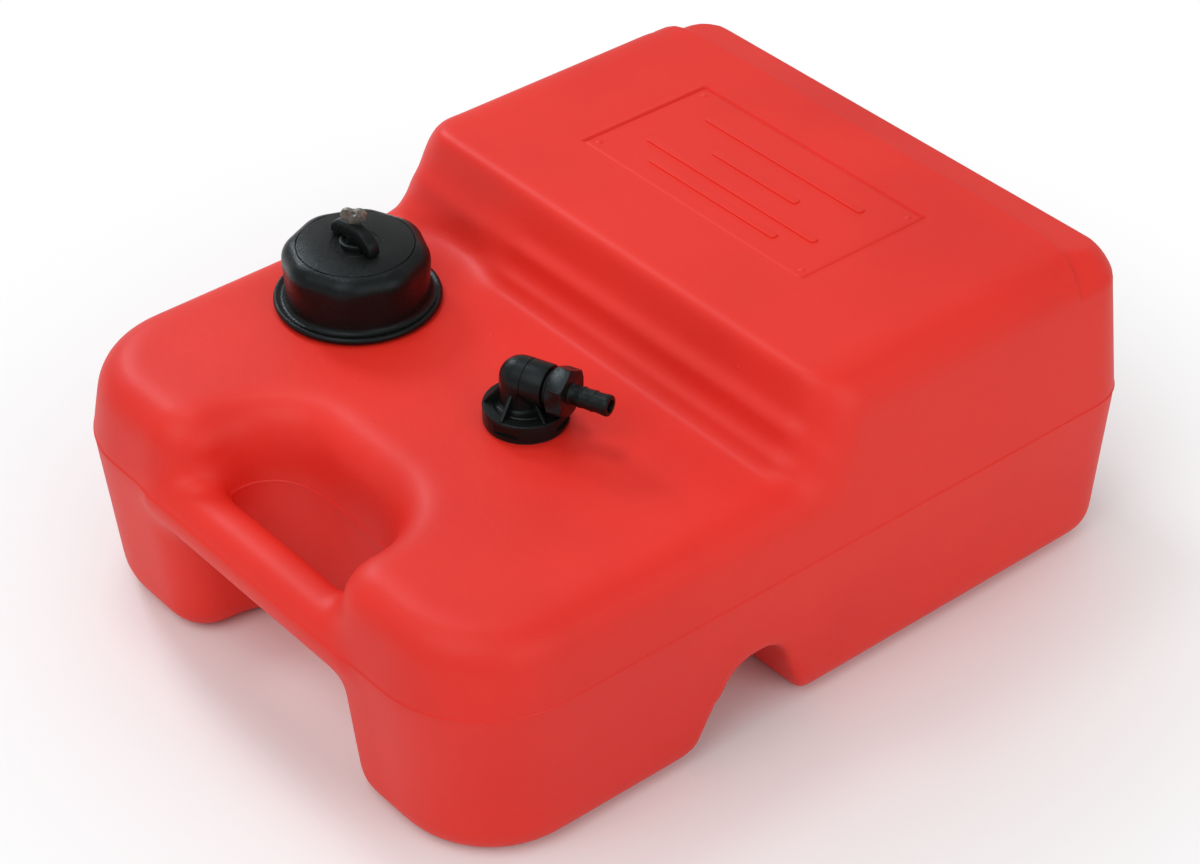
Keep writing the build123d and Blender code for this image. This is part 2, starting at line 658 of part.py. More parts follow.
with BuildPart() as outlet_head:
    with BuildSketch(outlet_plane(COLLAR_BOTTOM)):
        Circle(COLLAR_RADIUS)
    extrude(amount=COLLAR_HEIGHT)
    fillet(outlet_head.edges().group_by(Axis.Z)[-1], COLLAR_EDGE)
    # A wrench turns the collar by the slots in its side.
    with BuildSketch(outlet_plane(COLLAR_BOTTOM + (COLLAR_HEIGHT - COLLAR_SLOT_HEIGHT) / 2)):
        with PolarLocations(COLLAR_RADIUS, COLLAR_SLOTS, start_angle=COLLAR_SLOT_START - OUTLET_ANGLE):
            Rectangle(2 * COLLAR_SLOT_DEPTH, COLLAR_SLOT_WIDTH)
    extrude(amount=COLLAR_SLOT_HEIGHT, mode=Mode.SUBTRACT)
    with BuildSketch(outlet_plane(SPIGOT_BOTTOM)):
        Circle(SPIGOT_RADIUS)
    extrude(amount=SPIGOT_LENGTH)
    # The elbow: a standing body with a round top, and the barrel that leaves it level.
    with BuildSketch(outlet_plane(COLLAR_TOP, BODY_SETBACK)):
        Circle(BODY_RADIUS)
    extrude(amount=BARREL_AXIS - COLLAR_TOP)
    with Locations(outlet_plane(BARREL_AXIS, BODY_SETBACK).location):
        Sphere(BODY_RADIUS)
    with BuildSketch(barrel_plane(-BODY_SETBACK)):
        Circle(BODY_RADIUS)
    extrude(amount=BARREL_LENGTH)
    # Ribs brace the body on its collar.
    for number in range(RIB_COUNT):
        rib_angle = OUTLET_ANGLE + (number + 0.5) * 360 / RIB_COUNT
        rib_base = outlet_plane(COLLAR_TOP, BODY_SETBACK)
        rib_plane = Plane(
            origin=rib_base.origin,
            x_dir=(math.cos(math.radians(rib_angle)), math.sin(math.radians(rib_angle)), 0),
            z_dir=(math.sin(math.radians(rib_angle)), -math.cos(math.radians(rib_angle)), 0),
        )
        with BuildSketch(rib_plane):
            with BuildLine():
                Polyline(
                    (0, 0),
                    (RIB_REACH, 0),
                    (BODY_RADIUS - 1, RIB_HEIGHT),
                    (0, RIB_HEIGHT),
                    close=True,
                )
            make_face()
        extrude(amount=RIB_THICKNESS / 2, both=True)
    # The fuel way rises from the tube's socket and turns into the tail's socket.
    with BuildSketch(outlet_plane(SPIGOT_BOTTOM)):
        Circle(TUBE_RADIUS + FIT_GAP)
    extrude(amount=TUBE_SOCKET, mode=Mode.SUBTRACT)
    with BuildSketch(outlet_plane(SPIGOT_BOTTOM)):
        Circle(FUEL_WAY_RADIUS)
    extrude(amount=BARREL_AXIS - SPIGOT_BOTTOM, mode=Mode.SUBTRACT)
    with BuildSketch(barrel_plane(-FUEL_WAY_RADIUS)):
        Circle(FUEL_WAY_RADIUS)
    extrude(amount=BARREL_MOUTH + FUEL_WAY_RADIUS, mode=Mode.SUBTRACT)
    with BuildSketch(barrel_plane(BARREL_MOUTH - TAIL_SPIGOT_LENGTH)):
        Circle(TAIL_SPIGOT_RADIUS + FIT_GAP)
    extrude(amount=TAIL_SPIGOT_LENGTH, mode=Mode.SUBTRACT)
outlet_head.part.label = "outlet_head"

# The tail is turned in one piece: spigot, washer and barbs. Its hexagon is milled.
tail_profile = [
    (TAIL_START, TAIL_BORE_RADIUS),
    (TAIL_START, TAIL_SPIGOT_RADIUS),
    (WASHER_FACE, TAIL_SPIGOT_RADIUS),
    (WASHER_FACE, TAIL_WASHER_RADIUS),
    (HEX_FACE, TAIL_WASHER_RADIUS),
    (HEX_FACE, TAIL_ROOT_RADIUS),
    (TAIL_END - BARB_COUNT * (BARB_LAND + BARB_RAMP), TAIL_ROOT_RADIUS),
]
for number in reversed(range(BARB_COUNT)):
    barb_end = TAIL_END - number * (BARB_LAND + BARB_RAMP)
    tail_profile += [
        (barb_end - BARB_RAMP - BARB_LAND, BARB_RADIUS),
        (barb_end - BARB_RAMP, BARB_RADIUS),
        (barb_end, TAIL_ROOT_RADIUS),
    ]
tail_profile.append((TAIL_END, TAIL_BORE_RADIUS))

with BuildPart() as hose_tail:
    with BuildSketch(barrel_section()):
        with BuildLine():
            Polyline(*tail_profile, close=True)
        make_face()
    revolve(axis=Axis(tuple(barrel_plane(0).origin), BARB_DIRECTION))
    with BuildSketch(barrel_plane(HEX_FACE)):
        RegularPolygon(TAIL_HEX_FLATS / 2, 6, major_radius=False)
        Circle(TAIL_BORE_RADIUS, mode=Mode.SUBTRACT)
    extrude(amount=TAIL_HEX)
hose_tail.part.label = "hose_tail"

with BuildPart() as hose_tail_o_ring:
    with BuildSketch(barrel_section()):
        with Locations((BARREL_MOUTH + TAIL_RING_RADIUS,
                        TAIL_SPIGOT_RADIUS + TAIL_RING_RADIUS)):
            Circle(TAIL_RING_RADIUS - FIT_GAP)
    revolve(axis=Axis(tuple(barrel_plane(0).origin), BARB_DIRECTION))
hose_tail_o_ring.part.label = "hose_tail_o_ring"

# ================================================================ pickup
with BuildPart() as pickup_tube:
    with BuildSketch(outlet_plane(TUBE_BOTTOM)):
        add(ring_sketch(TUBE_RADIUS, TUBE_RADIUS - TUBE_WALL))
    extrude(amount=TUBE_TOP - TUBE_BOTTOM)
pickup_tube.part.label = "pickup_tube"

with BuildPart() as strainer_cage:
    with BuildSketch(outlet_plane(STRAINER_BOTTOM)):
        add(ring_sketch(STRAINER_RADIUS, STRAINER_RADIUS - STRAINER_WALL))
    extrude(amount=STRAINER_LENGTH)
    with BuildSketch(outlet_plane(TUBE_BOTTOM)):
        add(ring_sketch(STRAINER_RADIUS - STRAINER_WALL / 2, TUBE_RADIUS + FIT_GAP))
    extrude(amount=STRAINER_HEAD)
    with BuildSketch(outlet_plane(STRAINER_BOTTOM + END_CAP_PLUG)) as cage_windows:
        add(ring_sketch(2 * STRAINER_RADIUS, STRAINER_RADIUS - 2 * STRAINER_WALL))
        with PolarLocations(STRAINER_RADIUS, STRAINER_WINDOWS):
            Rectangle(2 * STRAINER_RADIUS, STRAINER_RIB, mode=Mode.SUBTRACT)
    extrude(amount=STRAINER_LENGTH - STRAINER_HEAD - 2 * END_CAP_PLUG, mode=Mode.SUBTRACT)
strainer_cage.part.label = "strainer_cage"

with BuildPart() as strainer_mesh:
    mesh_radius = STRAINER_RADIUS - STRAINER_WALL - FIT_GAP
    with BuildSketch(outlet_plane(STRAINER_BOTTOM + END_CAP_PLUG)):
        add(ring_sketch(mesh_radius, mesh_radius - MESH_THICKNESS))
    extrude(amount=TUBE_BOTTOM - STRAINER_BOTTOM - END_CAP_PLUG)
strainer_mesh.part.label = "strainer_mesh"

with BuildPart() as strainer_end_cap:
    with BuildSketch(outlet_plane(STRAINER_BOTTOM - END_CAP_THICKNESS)):
        Circle(STRAINER_RADIUS)
    extrude(amount=END_CAP_THICKNESS)
    with BuildSketch(outlet_plane(STRAINER_BOTTOM)):
        Circle(STRAINER_RADIUS - STRAINER_WALL - FIT_GAP)
    extrude(amount=END_CAP_PLUG)
strainer_end_cap.part.label = "strainer_end_cap"

# ================================================================ written out
os.makedirs("parts", exist_ok=True)
for piece in (tank_shell, cap_gasket, cap_insert, vent_valve, cap_cover, cap_top_disc, lock_barrel,
              lock_barrel_nut, lock_knob, lock_seal, lock_cam, lock_clip, key, outlet_gasket,
              outlet_head, hose_tail, hose_tail_o_ring, pickup_tube, strainer_cage, strainer_mesh,
              strainer_end_cap):
    export_step(piece.part, "parts/" + piece.part.label + ".step")
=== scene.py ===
# %% [markdown]
# # A portable outboard fuel tank
# The tank is a blow-moulded polyethylene shell with a handle across its front, a black screw
# cap with a lock, and a black elbow that feeds the hose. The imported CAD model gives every
# piece its place and its moving bodies. This script loads it first, and then dresses it.

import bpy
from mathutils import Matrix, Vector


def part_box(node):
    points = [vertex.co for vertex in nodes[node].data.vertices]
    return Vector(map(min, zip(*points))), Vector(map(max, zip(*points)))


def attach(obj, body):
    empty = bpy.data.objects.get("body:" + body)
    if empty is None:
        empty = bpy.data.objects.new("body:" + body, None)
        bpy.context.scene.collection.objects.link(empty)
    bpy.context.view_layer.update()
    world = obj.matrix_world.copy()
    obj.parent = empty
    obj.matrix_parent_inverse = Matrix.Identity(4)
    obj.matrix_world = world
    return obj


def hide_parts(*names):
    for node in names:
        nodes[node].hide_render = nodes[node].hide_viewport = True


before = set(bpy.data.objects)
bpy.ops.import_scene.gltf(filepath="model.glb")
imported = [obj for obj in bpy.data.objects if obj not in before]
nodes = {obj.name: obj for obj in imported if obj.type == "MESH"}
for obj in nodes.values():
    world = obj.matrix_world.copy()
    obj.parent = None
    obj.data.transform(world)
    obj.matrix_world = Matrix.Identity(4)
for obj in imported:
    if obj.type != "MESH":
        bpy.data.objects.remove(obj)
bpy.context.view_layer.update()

import math

import bmesh
import bpy
import numpy as np
from mathutils import Matrix, Vector
from mathutils.bvhtree import BVHTree

# %% [markdown]
# ## The camera
# A long lens from the front right, well above the tank, shows the deck, the raised rear and
# one side. The camera comes first, so that every later step can be looked at through it.

# %% Camera
CAMERA_PLACE = Vector((0.8876, -0.74165, 0.9349))
CAMERA_LINE = Vector((-0.6118, 0.5133, -0.6018))

camera = bpy.data.objects.new("camera", bpy.data.cameras.new("camera"))
camera.data.lens = 96
camera.data.sensor_width = 36
camera.location = CAMERA_PLACE
camera.rotation_euler = CAMERA_LINE.to_track_quat("-Z", "Y").to_euler()
bpy.context.scene.collection.objects.link(camera)
bpy.context.scene.camera = camera
print("camera lens:", camera.data.lens, "mm")

# %% [markdown]
# ## Writing materials as sums
# A material is a small program made of nodes. Wiring Math nodes by hand hides what they work
# out, so this class lets a socket be added and multiplied in a Python expression, and each
# operation adds its own Math node. Any other node comes from one method of the finish below.


# %% Sockets that can be added and multiplied
class Value:
    """One output socket of a finish."""

    def __init__(self, finish, socket):
        self.finish = finish
        self.socket = socket

    def _math(self, operation, other):
        return self.finish.node("Math", {"operation": operation},
                                {"Value": self, "Value_001": other})

    def __add__(self, other):
        return self._math("ADD", other)

    def __mul__(self, other):
        return self._math("MULTIPLY", other)

    __radd__ = __add__
    __rmul__ = __mul__


print("sockets can be added and multiplied")

# %% [markdown]
# ## One finish
# Every finish has one Principled shader. Its patterns are made in the tank's own place, which
# is in metres, so a pattern's scale says how many of its features fit in a metre.


# %% Shader helpers
class Finish:
    """A material with one Principled shader, built up one node at a time."""

    def __init__(self, name, **constants):
        self.material = bpy.data.materials.new(name)
        self.material.use_nodes = True
        self.tree = self.material.node_tree
        self.shader = self.tree.nodes["Principled BSDF"]
        for socket, value in constants.items():
            self.shader.inputs[socket.replace("_", " ")].default_value = value
        self.place = self.node("TexCoord", output="Object")

    def feed(self, socket, value):
        """Links a value to a socket, or sets it there when it is a plain number."""
        if isinstance(value, Value):
            self.tree.links.new(value.socket, socket)
        else:
            socket.default_value = value

    def node(self, kind, settings=None, values=None, output=0):
        """Adds a node: its settings come first, then what goes into its sockets."""
        node = self.tree.nodes.new("ShaderNode" + kind)
        for name, value in (settings or {}).items():
            setattr(node, name, value)
        sockets = {socket.identifier: socket for socket in node.inputs}
        for name, value in (values or {}).items():
            self.feed(sockets[name], value)
        return Value(self, node.outputs[output])

    def noise(self, scale, detail=3, roughness=0.5):
        """Soft random patches: how many to a metre, and how finely they are broken up."""
        return self.node("TexNoise", None, {
            "Vector": self.place, "Scale": scale, "Detail": detail, "Roughness": roughness,
        })

    def cells(self, scale):
        """How far the nearest of many scattered points is."""
        return self.node("TexVoronoi", None, {"Vector": self.place, "Scale": scale}, "Distance")

    def ramp(self, value, low, high):
        """A soft step: 0 to 1 between two places of a value."""
        return self.node("MapRange", {"interpolation_type": "SMOOTHSTEP"}, {
            "Value": value, "From Min": low, "From Max": high,
        })

    def mix(self, share, first, second):
        """A blend of two colours."""
        return self.node("Mix", {"data_type": "RGBA"}, {
            "Factor_Float": share, "A_Color": first, "B_Color": second,
        }, "Result")

    def bump(self, height, distance):
        """The normal of a surface that stands up by a height, times a distance in metres."""
        return self.node("Bump", None, {"Height": height, "Distance": distance})

    def paint(self, **sockets):
        """Feeds the shader's own sockets and gives the finished material."""
        for name, value in sockets.items():
            self.feed(self.shader.inputs[name.replace("_", " ")], value)
        return self.material


def rgb(red, green, blue):
    """A display colour from 0 to 255 as the linear colour that a shader takes."""
    linear = [((c / 255 + 0.055) / 1.055) ** 2.4 if c > 10 else c / 255 / 12.92
              for c in (red, green, blue)]
    return (*linear, 1.0)


print("shader helpers are ready")

# %% [markdown]
# ## Red polyethylene
# The shell is dyed through, so it has one red all over. What makes it look moulded is fine: a
# sandblasted grain, a faint waviness where the wall cooled unevenly, patches that shine a
# little more than others, and a few pips. All of it comes from noise in the tank's own place.

# %% Shell finish
RED = rgb(225, 43, 30)
RED_DEEP = rgb(215, 38, 28)
RED_SCUFFED = rgb(230, 62, 49)


def shell_material():
    finish = Finish("red_polyethylene", IOR=1.5, Specular_IOR_Level=0.32)
    cloud = finish.noise(9, 4)
    grain = finish.noise(1500, 2)
    peel = finish.noise(260, 2)
    wave = finish.noise(24, 2)
    pips = finish.ramp(finish.cells(55), 0.05, 0.02)
    tinted = finish.mix(finish.ramp(cloud, 0.35, 0.7), RED, RED_DEEP)
    scuffs = finish.ramp(finish.noise(70, 6, 0.75), 0.62, 0.8) * 0.35
    height = grain * 0.05 + peel * 0.12 + wave * 0.5 + pips * 0.25
    return finish.paint(
        Base_Color=finish.mix(scuffs, tinted, RED_SCUFFED),
        Roughness=0.42 + cloud * 0.08 + grain * 0.05,
        Normal=finish.bump(height, 0.0006),
    )


red_polyethylene = shell_material()
print("shell finish:", len(red_polyethylene.node_tree.nodes), "nodes")

# %% [markdown]
# ## Black mouldings
# The cap, its knob and the outlet are injection moulded in black nylon. The tool's steel was
# lightly textured, so the skin is satin with a fine grain, and handling has polished some
# places and scratched others. The gloss is tinted a little cold, which keeps the red of the
# deck from showing too strongly in the black.

# %% Black finishes
COLD_GLOSS = (0.74, 0.86, 0.92, 1)


def black_material(name, roughness, grain_size, tone):
    finish = Finish(name, IOR=1.5, Specular_IOR_Level=0.22, Specular_Tint=COLD_GLOSS)
    grain = finish.noise(grain_size, 3)
    handled = finish.ramp(finish.noise(120, 4), 0.4, 0.7)
    scratches = finish.ramp(finish.noise(420, 6, 0.8), 0.63, 0.72)
    dust = finish.mix(scratches * 0.25, tone, rgb(70, 70, 72))
    return finish.paint(
        Base_Color=dust,
        Roughness=roughness + handled * 0.07 + grain * 0.05,
        Normal=finish.bump(grain, 0.00012),
    )


black_plastic = black_material("black_plastic", 0.24, 2200, rgb(14, 15, 14))
black_rubber = black_material("black_rubber", 0.62, 1400, rgb(26, 25, 25))
print("black finishes:", black_plastic.name, black_rubber.name)

# %% [markdown]
# ## What is inside
# The pickup tube and its strainer are undyed plastic, the net is woven, and the lock's small
# parts are zinc plated or nickel. They show only when the cap comes off, but each has a
# finish, because a part may be taken out and looked at.


# %% Finishes of the small parts
def natural_material():
    finish = Finish("natural_plastic", Roughness=0.4, IOR=1.5)
    cloud = finish.noise(90, 3)
    return finish.paint(
        Base_Color=finish.mix(cloud, rgb(228, 222, 204), rgb(206, 198, 176)),
        Roughness=0.36 + cloud * 0.12,
        Normal=finish.bump(finish.noise(900, 2), 0.0001),
    )


def net_material():
    finish = Finish("strainer_net", Roughness=0.55)
    threads = finish.node("TexWave", {"bands_direction": "Z"},
                          {"Vector": finish.place, "Scale": 900})
    across = finish.node("TexWave", {"bands_direction": "DIAGONAL"},
                         {"Vector": finish.place, "Scale": 700})
    weave = threads * 0.5 + across * 0.5
    return finish.paint(
        Base_Color=finish.mix(weave, rgb(96, 99, 98), rgb(196, 199, 196)),
        Normal=finish.bump(weave, 0.0002),
    )


def metal_material(name, light, dark, roughness, marks):
    finish = Finish(name, Metallic=1.0)
    blotch = finish.ramp(finish.noise(260, 5, 0.7), 0.35, 0.7)
    brushed = finish.noise(marks, 4, 0.7)
    return finish.paint(
        Base_Color=finish.mix(blotch, light, dark),
        Roughness=roughness + blotch * 0.15 + brushed * 0.1,
        Normal=finish.bump(brushed, 0.00006),
    )


finishes = {
    "red_polyethylene": red_polyethylene,
    "black_plastic": black_plastic,
    "black_rubber": black_rubber,
    "natural_plastic": natural_material(),
    "strainer_net": net_material(),
    "zinc_steel": metal_material("zinc_steel", rgb(190, 192, 196), rgb(150, 150, 148), 0.3, 1800),
    "key_metal": metal_material("key_metal", rgb(158, 158, 150), rgb(104, 103, 94), 0.38, 1500),
}
for node in nodes.values():
    slot_name = node.data.materials[0].name
    node.data.materials[0] = finishes[slot_name]
print("finishes:", sorted(finishes))

# %% [markdown]
# ## Helpers for pieces
# Each new piece starts as a bmesh, which is Blender's editable mesh. These helpers turn a
# profile on an axis, cut or join solids, and put the finished piece on the body that carries
# it.

# %% Piece helpers
MM = 0.001
ROUND_ANGLE = math.radians(30)
SHADE_ANGLE = math.radians(38)


def link(bm, name):
    """Makes an object from a bmesh and puts it in the scene."""
    mesh = bpy.data.meshes.new(name)
    bm.to_mesh(mesh)
    bm.free()
    piece = bpy.data.objects.new(name, mesh)
    bpy.context.scene.collection.objects.link(piece)
    return piece


def apply_modifiers(piece):
    """Puts what the modifiers make into the mesh itself."""
    graph = bpy.context.evaluated_depsgraph_get()
    mesh = bpy.data.meshes.new_from_object(piece.evaluated_get(graph))
    piece.modifiers.clear()
    old, piece.data = piece.data, mesh
    bpy.data.meshes.remove(old)


def combine(piece, operation, *tools):
    """Joins other solids to a piece, or cuts them out of it."""
    for tool in tools:
        step = piece.modifiers.new("solid", "BOOLEAN")
        step.operation = operation
        step.solver = "EXACT"
        step.object = tool
    apply_modifiers(piece)
    for tool in tools:
        mesh = tool.data
        bpy.data.objects.remove(tool)
        bpy.data.meshes.remove(mesh)


def tidy(bm):
    """Welds the doubles and turns every face outwards."""
    bmesh.ops.remove_doubles(bm, verts=bm.verts, dist=0.002 * MM)
    bmesh.ops.recalc_face_normals(bm, faces=bm.faces)
    if bm.calc_volume(signed=True) < 0:  # a thin piece can come out inside out
        bmesh.ops.reverse_faces(bm, faces=bm.faces)
    return bm


def turned(profile, steps=96):
    """A solid of revolution round Z, from (radius, height) corners in millimetres."""
    bm = bmesh.new()
    corners = [bm.verts.new((radius * MM, 0, height * MM)) for radius, height in profile]
    line = [bm.edges.new(pair) for pair in zip(corners, corners[1:])]
    if profile[0][0] > 0:
        line.append(bm.edges.new((corners[-1], corners[0])))
    bmesh.ops.spin(bm, geom=corners + line, cent=(0, 0, 0), axis=(0, 0, 1),
                   angle=2 * math.pi, steps=steps, use_merge=True)
    return tidy(bm)


def smooth_shading(mesh):
    """Shades a mesh smooth, but for its sharp edges."""
    bm = bmesh.new()
    bm.from_mesh(mesh)
    for face in bm.faces:
        face.smooth = True
    for edge in bm.edges:
        edge.smooth = not (edge.is_manifold and edge.calc_face_angle() > SHADE_ANGLE)
    bm.to_mesh(mesh)
    bm.free()


def mount(piece, body, slot_name, *replaced):
    """Gives a finished piece its material and its body, and hides the CAD nodes it stands for."""
    smooth_shading(piece.data)
    piece.data.materials.clear()
    piece.data.materials.append(finishes[slot_name])
    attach(piece, body)
    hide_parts(*replaced)
    triangles = sum(len(face.vertices) - 2 for face in piece.data.polygons)
    print(piece.name, "on", body, "with", triangles, "triangles")


print("piece helpers are ready")

# %% [markdown]
# ## The shell's outer skin
# The moulded shell has a skin outside and a skin inside, joined through the filler's bore and
# the outlet's hole. The forms were drawn as blocks with plain edges, and the real ones flow
# into each other. So the outer skin is taken from a copy of the CAD mesh, closed, and remade
# as an even net of small squares that can be smoothed. The inner skin stays as it is.

# %% Part the two skins
FILLER = Vector((-87.5 * MM, -65 * MM, 0))
OUTLET = Vector((31 * MM, -64 * MM, 0))
DECK = 119 * MM
NECK_TOP = 130 * MM
NECK_RADIUS = 26 * MM
WALL = 3 * MM
SPIGOT_HOLE = 13.05 * MM
SLACK = 0.1 * MM


def inside(vert, axis, radius, low, high):
    """Whether a point lies in an upright cylinder."""
    away = (vert.co - axis).to_2d().length
    return away < radius + SLACK and low - SLACK < vert.co.z < high + SLACK


def islands(bm):
    """The groups of faces that hang together."""
    left = set(bm.faces)
    groups = []
    while left:
        seed = left.pop()
        group, waiting = [seed], [seed]
        while waiting:
            for edge in waiting.pop().edges:
                for near in edge.link_faces:
                    if near in left:
                        left.remove(near)
                        group.append(near)
                        waiting.append(near)
        groups.append(group)
    return groups


skin = bmesh.new()
skin.from_mesh(nodes["tank_shell"].data)
bmesh.ops.remove_doubles(skin, verts=skin.verts, dist=0.002 * MM)
joining = [face for face in skin.faces if
           all(inside(v, FILLER, NECK_RADIUS, DECK - WALL, NECK_TOP) for v in face.verts)
           or all(inside(v, OUTLET, SPIGOT_HOLE, DECK - 4 * WALL, DECK) for v in face.verts)]
bmesh.ops.delete(skin, geom=joining, context="FACES")
skins = sorted(islands(skin), key=lambda group: min(f.calc_center_median().z for f in group))
print("skins:", [len(group) for group in skins])
inner = skin.copy()
skin.faces.index_update()
inner.faces.ensure_lookup_table()
skin.faces.ensure_lookup_table()
outer_numbers = {face.index for face in skins[0]}
bmesh.ops.delete(inner, geom=[f for f in inner.faces if f.index in outer_numbers],
                 context="FACES")
bmesh.ops.delete(skin, geom=[f for f in skin.faces if f.index not in outer_numbers],
                 context="FACES")
for half in (skin, inner):
    bmesh.ops.holes_fill(half, edges=[e for e in half.edges if e.is_boundary], sides=0)
    print("open edges left:", sum(not e.is_manifold for e in half.edges))

# %% [markdown]
# ## Remaking the skin
# Voxel remeshing gives squares of one size, so smoothing acts evenly. Plain smoothing would
# shrink the handle, so the creases are filled in another way: a point moves only outwards, to
# the mean of its neighbours, and the rounded ridges stay where they are. Blow moulding does
# the same, because the soft plastic can't reach into a sharp inner corner of the mould.

# %% Smoothing helpers
SHARE = 0.5
NORMAL_TURNS = 4


def ends_of(mesh):
    """Both ends of every edge, each way round: the near points and the far ones."""
    ends = np.empty(len(mesh.edges) * 2, int)
    mesh.edges.foreach_get("vertices", ends)
    first, second = ends.reshape(-1, 2).T
    return np.concatenate((first, second)), np.concatenate((second, first))


def points_of(mesh, field="co"):
    """The places of a mesh's points, or their normals."""
    source = mesh.vertex_normals if field == "normal" else mesh.vertices
    points = np.empty(len(mesh.vertices) * 3)
    source.foreach_get("vector" if field == "normal" else "co", points)
    return points.reshape(-1, 3)


def relax(mesh, rounds, region, only_out=False):
    """Moves points towards the mean of their neighbours, as far as a region holds them."""
    near, far = ends_of(mesh)
    total = len(mesh.vertices)
    count = np.bincount(near, minlength=total)[:, None]
    share = region * SHARE
    points = points_of(mesh)
    for turn in range(rounds):
        if only_out and turn % NORMAL_TURNS == 0:
            mesh.vertices.foreach_set("co", points.ravel())
            mesh.update()
            normals = points_of(mesh, "normal")
        mean = np.stack([np.bincount(near, points[far, k], total) for k in range(3)], 1) / count
        move = mean - points
        if only_out:
            move = normals * (move * normals).sum(1, keepdims=True).clip(0)
        points += move * share[:, None]
    mesh.vertices.foreach_set("co", points.ravel())
    mesh.update()


def near_to(points, low, high, fade):
    """1 in a box and 0 beyond it, with a soft edge. All sizes are in millimetres."""
    away = np.maximum(np.array(low) * MM - points, points - np.array(high) * MM).clip(0)
    return (1 - np.linalg.norm(away, axis=1) / (fade * MM)).clip(0, 1)


print("smoothing helpers are ready")

# %% [markdown]
# ## Soft here and crisp there
# The handle's roots get the most filling. The terraces of the raised rear and its rear rim
# are crisp on the real tank, so they are drawn back to the mould's own surface afterwards.
# Behind the cap the terraces are hollowed to make room for a hand, and flow together there.

# %% Remesh, fill and sharpen
VOXEL = 2.4 * MM
HANDLE = ((-75, -195, 40), (75, -120, 125), 25)
TERRACES = ((-150, -13, 124), (150, 24, 162), 8)
REAR_RIM = ((-150, 158, 146), (150, 195, 162), 8)
HAND_ROOM = ((-125, -14, 118), (-64, 6, 146), 14)

moulded = BVHTree.FromBMesh(skin)
tank_body = link(skin, "tank_body")
net = tank_body.modifiers.new("net", "REMESH")
net.mode = "VOXEL"
net.voxel_size = VOXEL
apply_modifiers(tank_body)
mesh = tank_body.data

everywhere = np.ones(len(mesh.vertices))
relax(mesh, 2, everywhere)
points = points_of(mesh)
handle_region = near_to(points, *HANDLE)
slope_region = near_to(points, *TERRACES)
rim_region = near_to(points, *REAR_RIM)
plain_region = (everywhere - slope_region - rim_region).clip(0)
relax(mesh, 3, plain_region)
relax(mesh, 24, plain_region, only_out=True)
relax(mesh, 90, handle_region, only_out=True)

crisp_region = (slope_region + rim_region).clip(0, 1)
for number in np.flatnonzero(crisp_region > 0):
    vert = mesh.vertices[number]
    vert.co = vert.co.lerp(moulded.find_nearest(vert.co)[0], crisp_region[number])
hand_region = near_to(points_of(mesh), *HAND_ROOM)
relax(mesh, 9, slope_region, only_out=True)
relax(mesh, 30, hand_region, only_out=True)
relax(mesh, 4, hand_region)
relax(mesh, 1, crisp_region)
print("outer skin:", len(mesh.polygons), "squares")

# %% [markdown]
# ## The parting line
# The two halves of the mould meet at mid height and leave a thin raised line. Three level
# planes cut it into the net, and the middle cut is pushed out. Only the faces near a plane
# are cut, so the rest of the net stays square.

# %% Parting line
SEAM = 83 * MM
SEAM_HALF = 0.55 * MM
SEAM_PROUD = 0.45 * MM
ON_PLANE = 0.02 * MM


def slice_plane(bm, place, direction, reach):
    """Cuts new edges where a plane meets the faces near it."""
    near = [face for face in bm.faces if reach(face.calc_center_median())]
    geometry = set(near)
    for face in near:
        geometry.update(face.edges)
        geometry.update(face.verts)
    bmesh.ops.bisect_plane(bm, geom=list(geometry), plane_co=place, plane_no=direction,
                           dist=ON_PLANE / 2)


bm = bmesh.new()
bm.from_mesh(mesh)
for offset in (-SEAM_HALF, 0, SEAM_HALF):
    slice_plane(bm, (0, 0, SEAM + offset), (0, 0, 1), lambda c: abs(c.z - SEAM) < 3 * VOXEL)
bm.normal_update()
for vert in bm.verts:
    if abs(vert.co.z - SEAM) < ON_PLANE:
        level = Vector((vert.normal.x, vert.normal.y, 0))
        if level.length > 0.5:
            vert.co += level.normalized() * SEAM_PROUD
print("with the parting line:", len(bm.faces), "faces")

# %% [markdown]
# ## The panel
# The panel on top is sunk a little, with a deeper line along its border. Its steps are cut in
# the same way, and a point's height then follows from how far inside the border it lies.

# %% Sunk panel
TOP = 160 * MM
PANEL = (-76 * MM, 72 * MM, 55.5 * MM, 131.5 * MM)
PANEL_STEPS = ((0, 0.7, 1.6), (0, 1.3, 0.7))
PANEL_DEPTH = PANEL_STEPS[1][-1] * MM
PANEL_REACH = 9 * MM
PANEL_LOW = TOP - PANEL_REACH / 3

left, right, front, rear = PANEL


def on_top(centre):
    """Whether a face lies on the top, in or near the panel."""
    return (centre.z > PANEL_LOW
            and left - PANEL_REACH < centre.x < right + PANEL_REACH
            and front - PANEL_REACH < centre.y < rear + PANEL_REACH)


for step in PANEL_STEPS[0]:
    for x in (left + step * MM, right - step * MM):
        slice_plane(bm, (x, 0, TOP), (1, 0, 0), on_top)
    for y in (front + step * MM, rear - step * MM):
        slice_plane(bm, (0, y, TOP), (0, 1, 0), on_top)
for vert in bm.verts:
    inwards = min(vert.co.x - left, right - vert.co.x, vert.co.y - front, rear - vert.co.y)
    if inwards > 0 and vert.co.z > PANEL_LOW:
        vert.co.z = TOP - np.interp(inwards / MM, *PANEL_STEPS) * MM
print("with the panel:", len(bm.faces), "faces")

# %% [markdown]
# ## The rear edge
# Behind the panel the top ends at a crisp edge that turns forward at its ends. The rim behind
# it lies lower, falls away backwards, and is narrower. Each side of the edge takes its height
# from the mould's own surface, which a ray that is cast down finds.

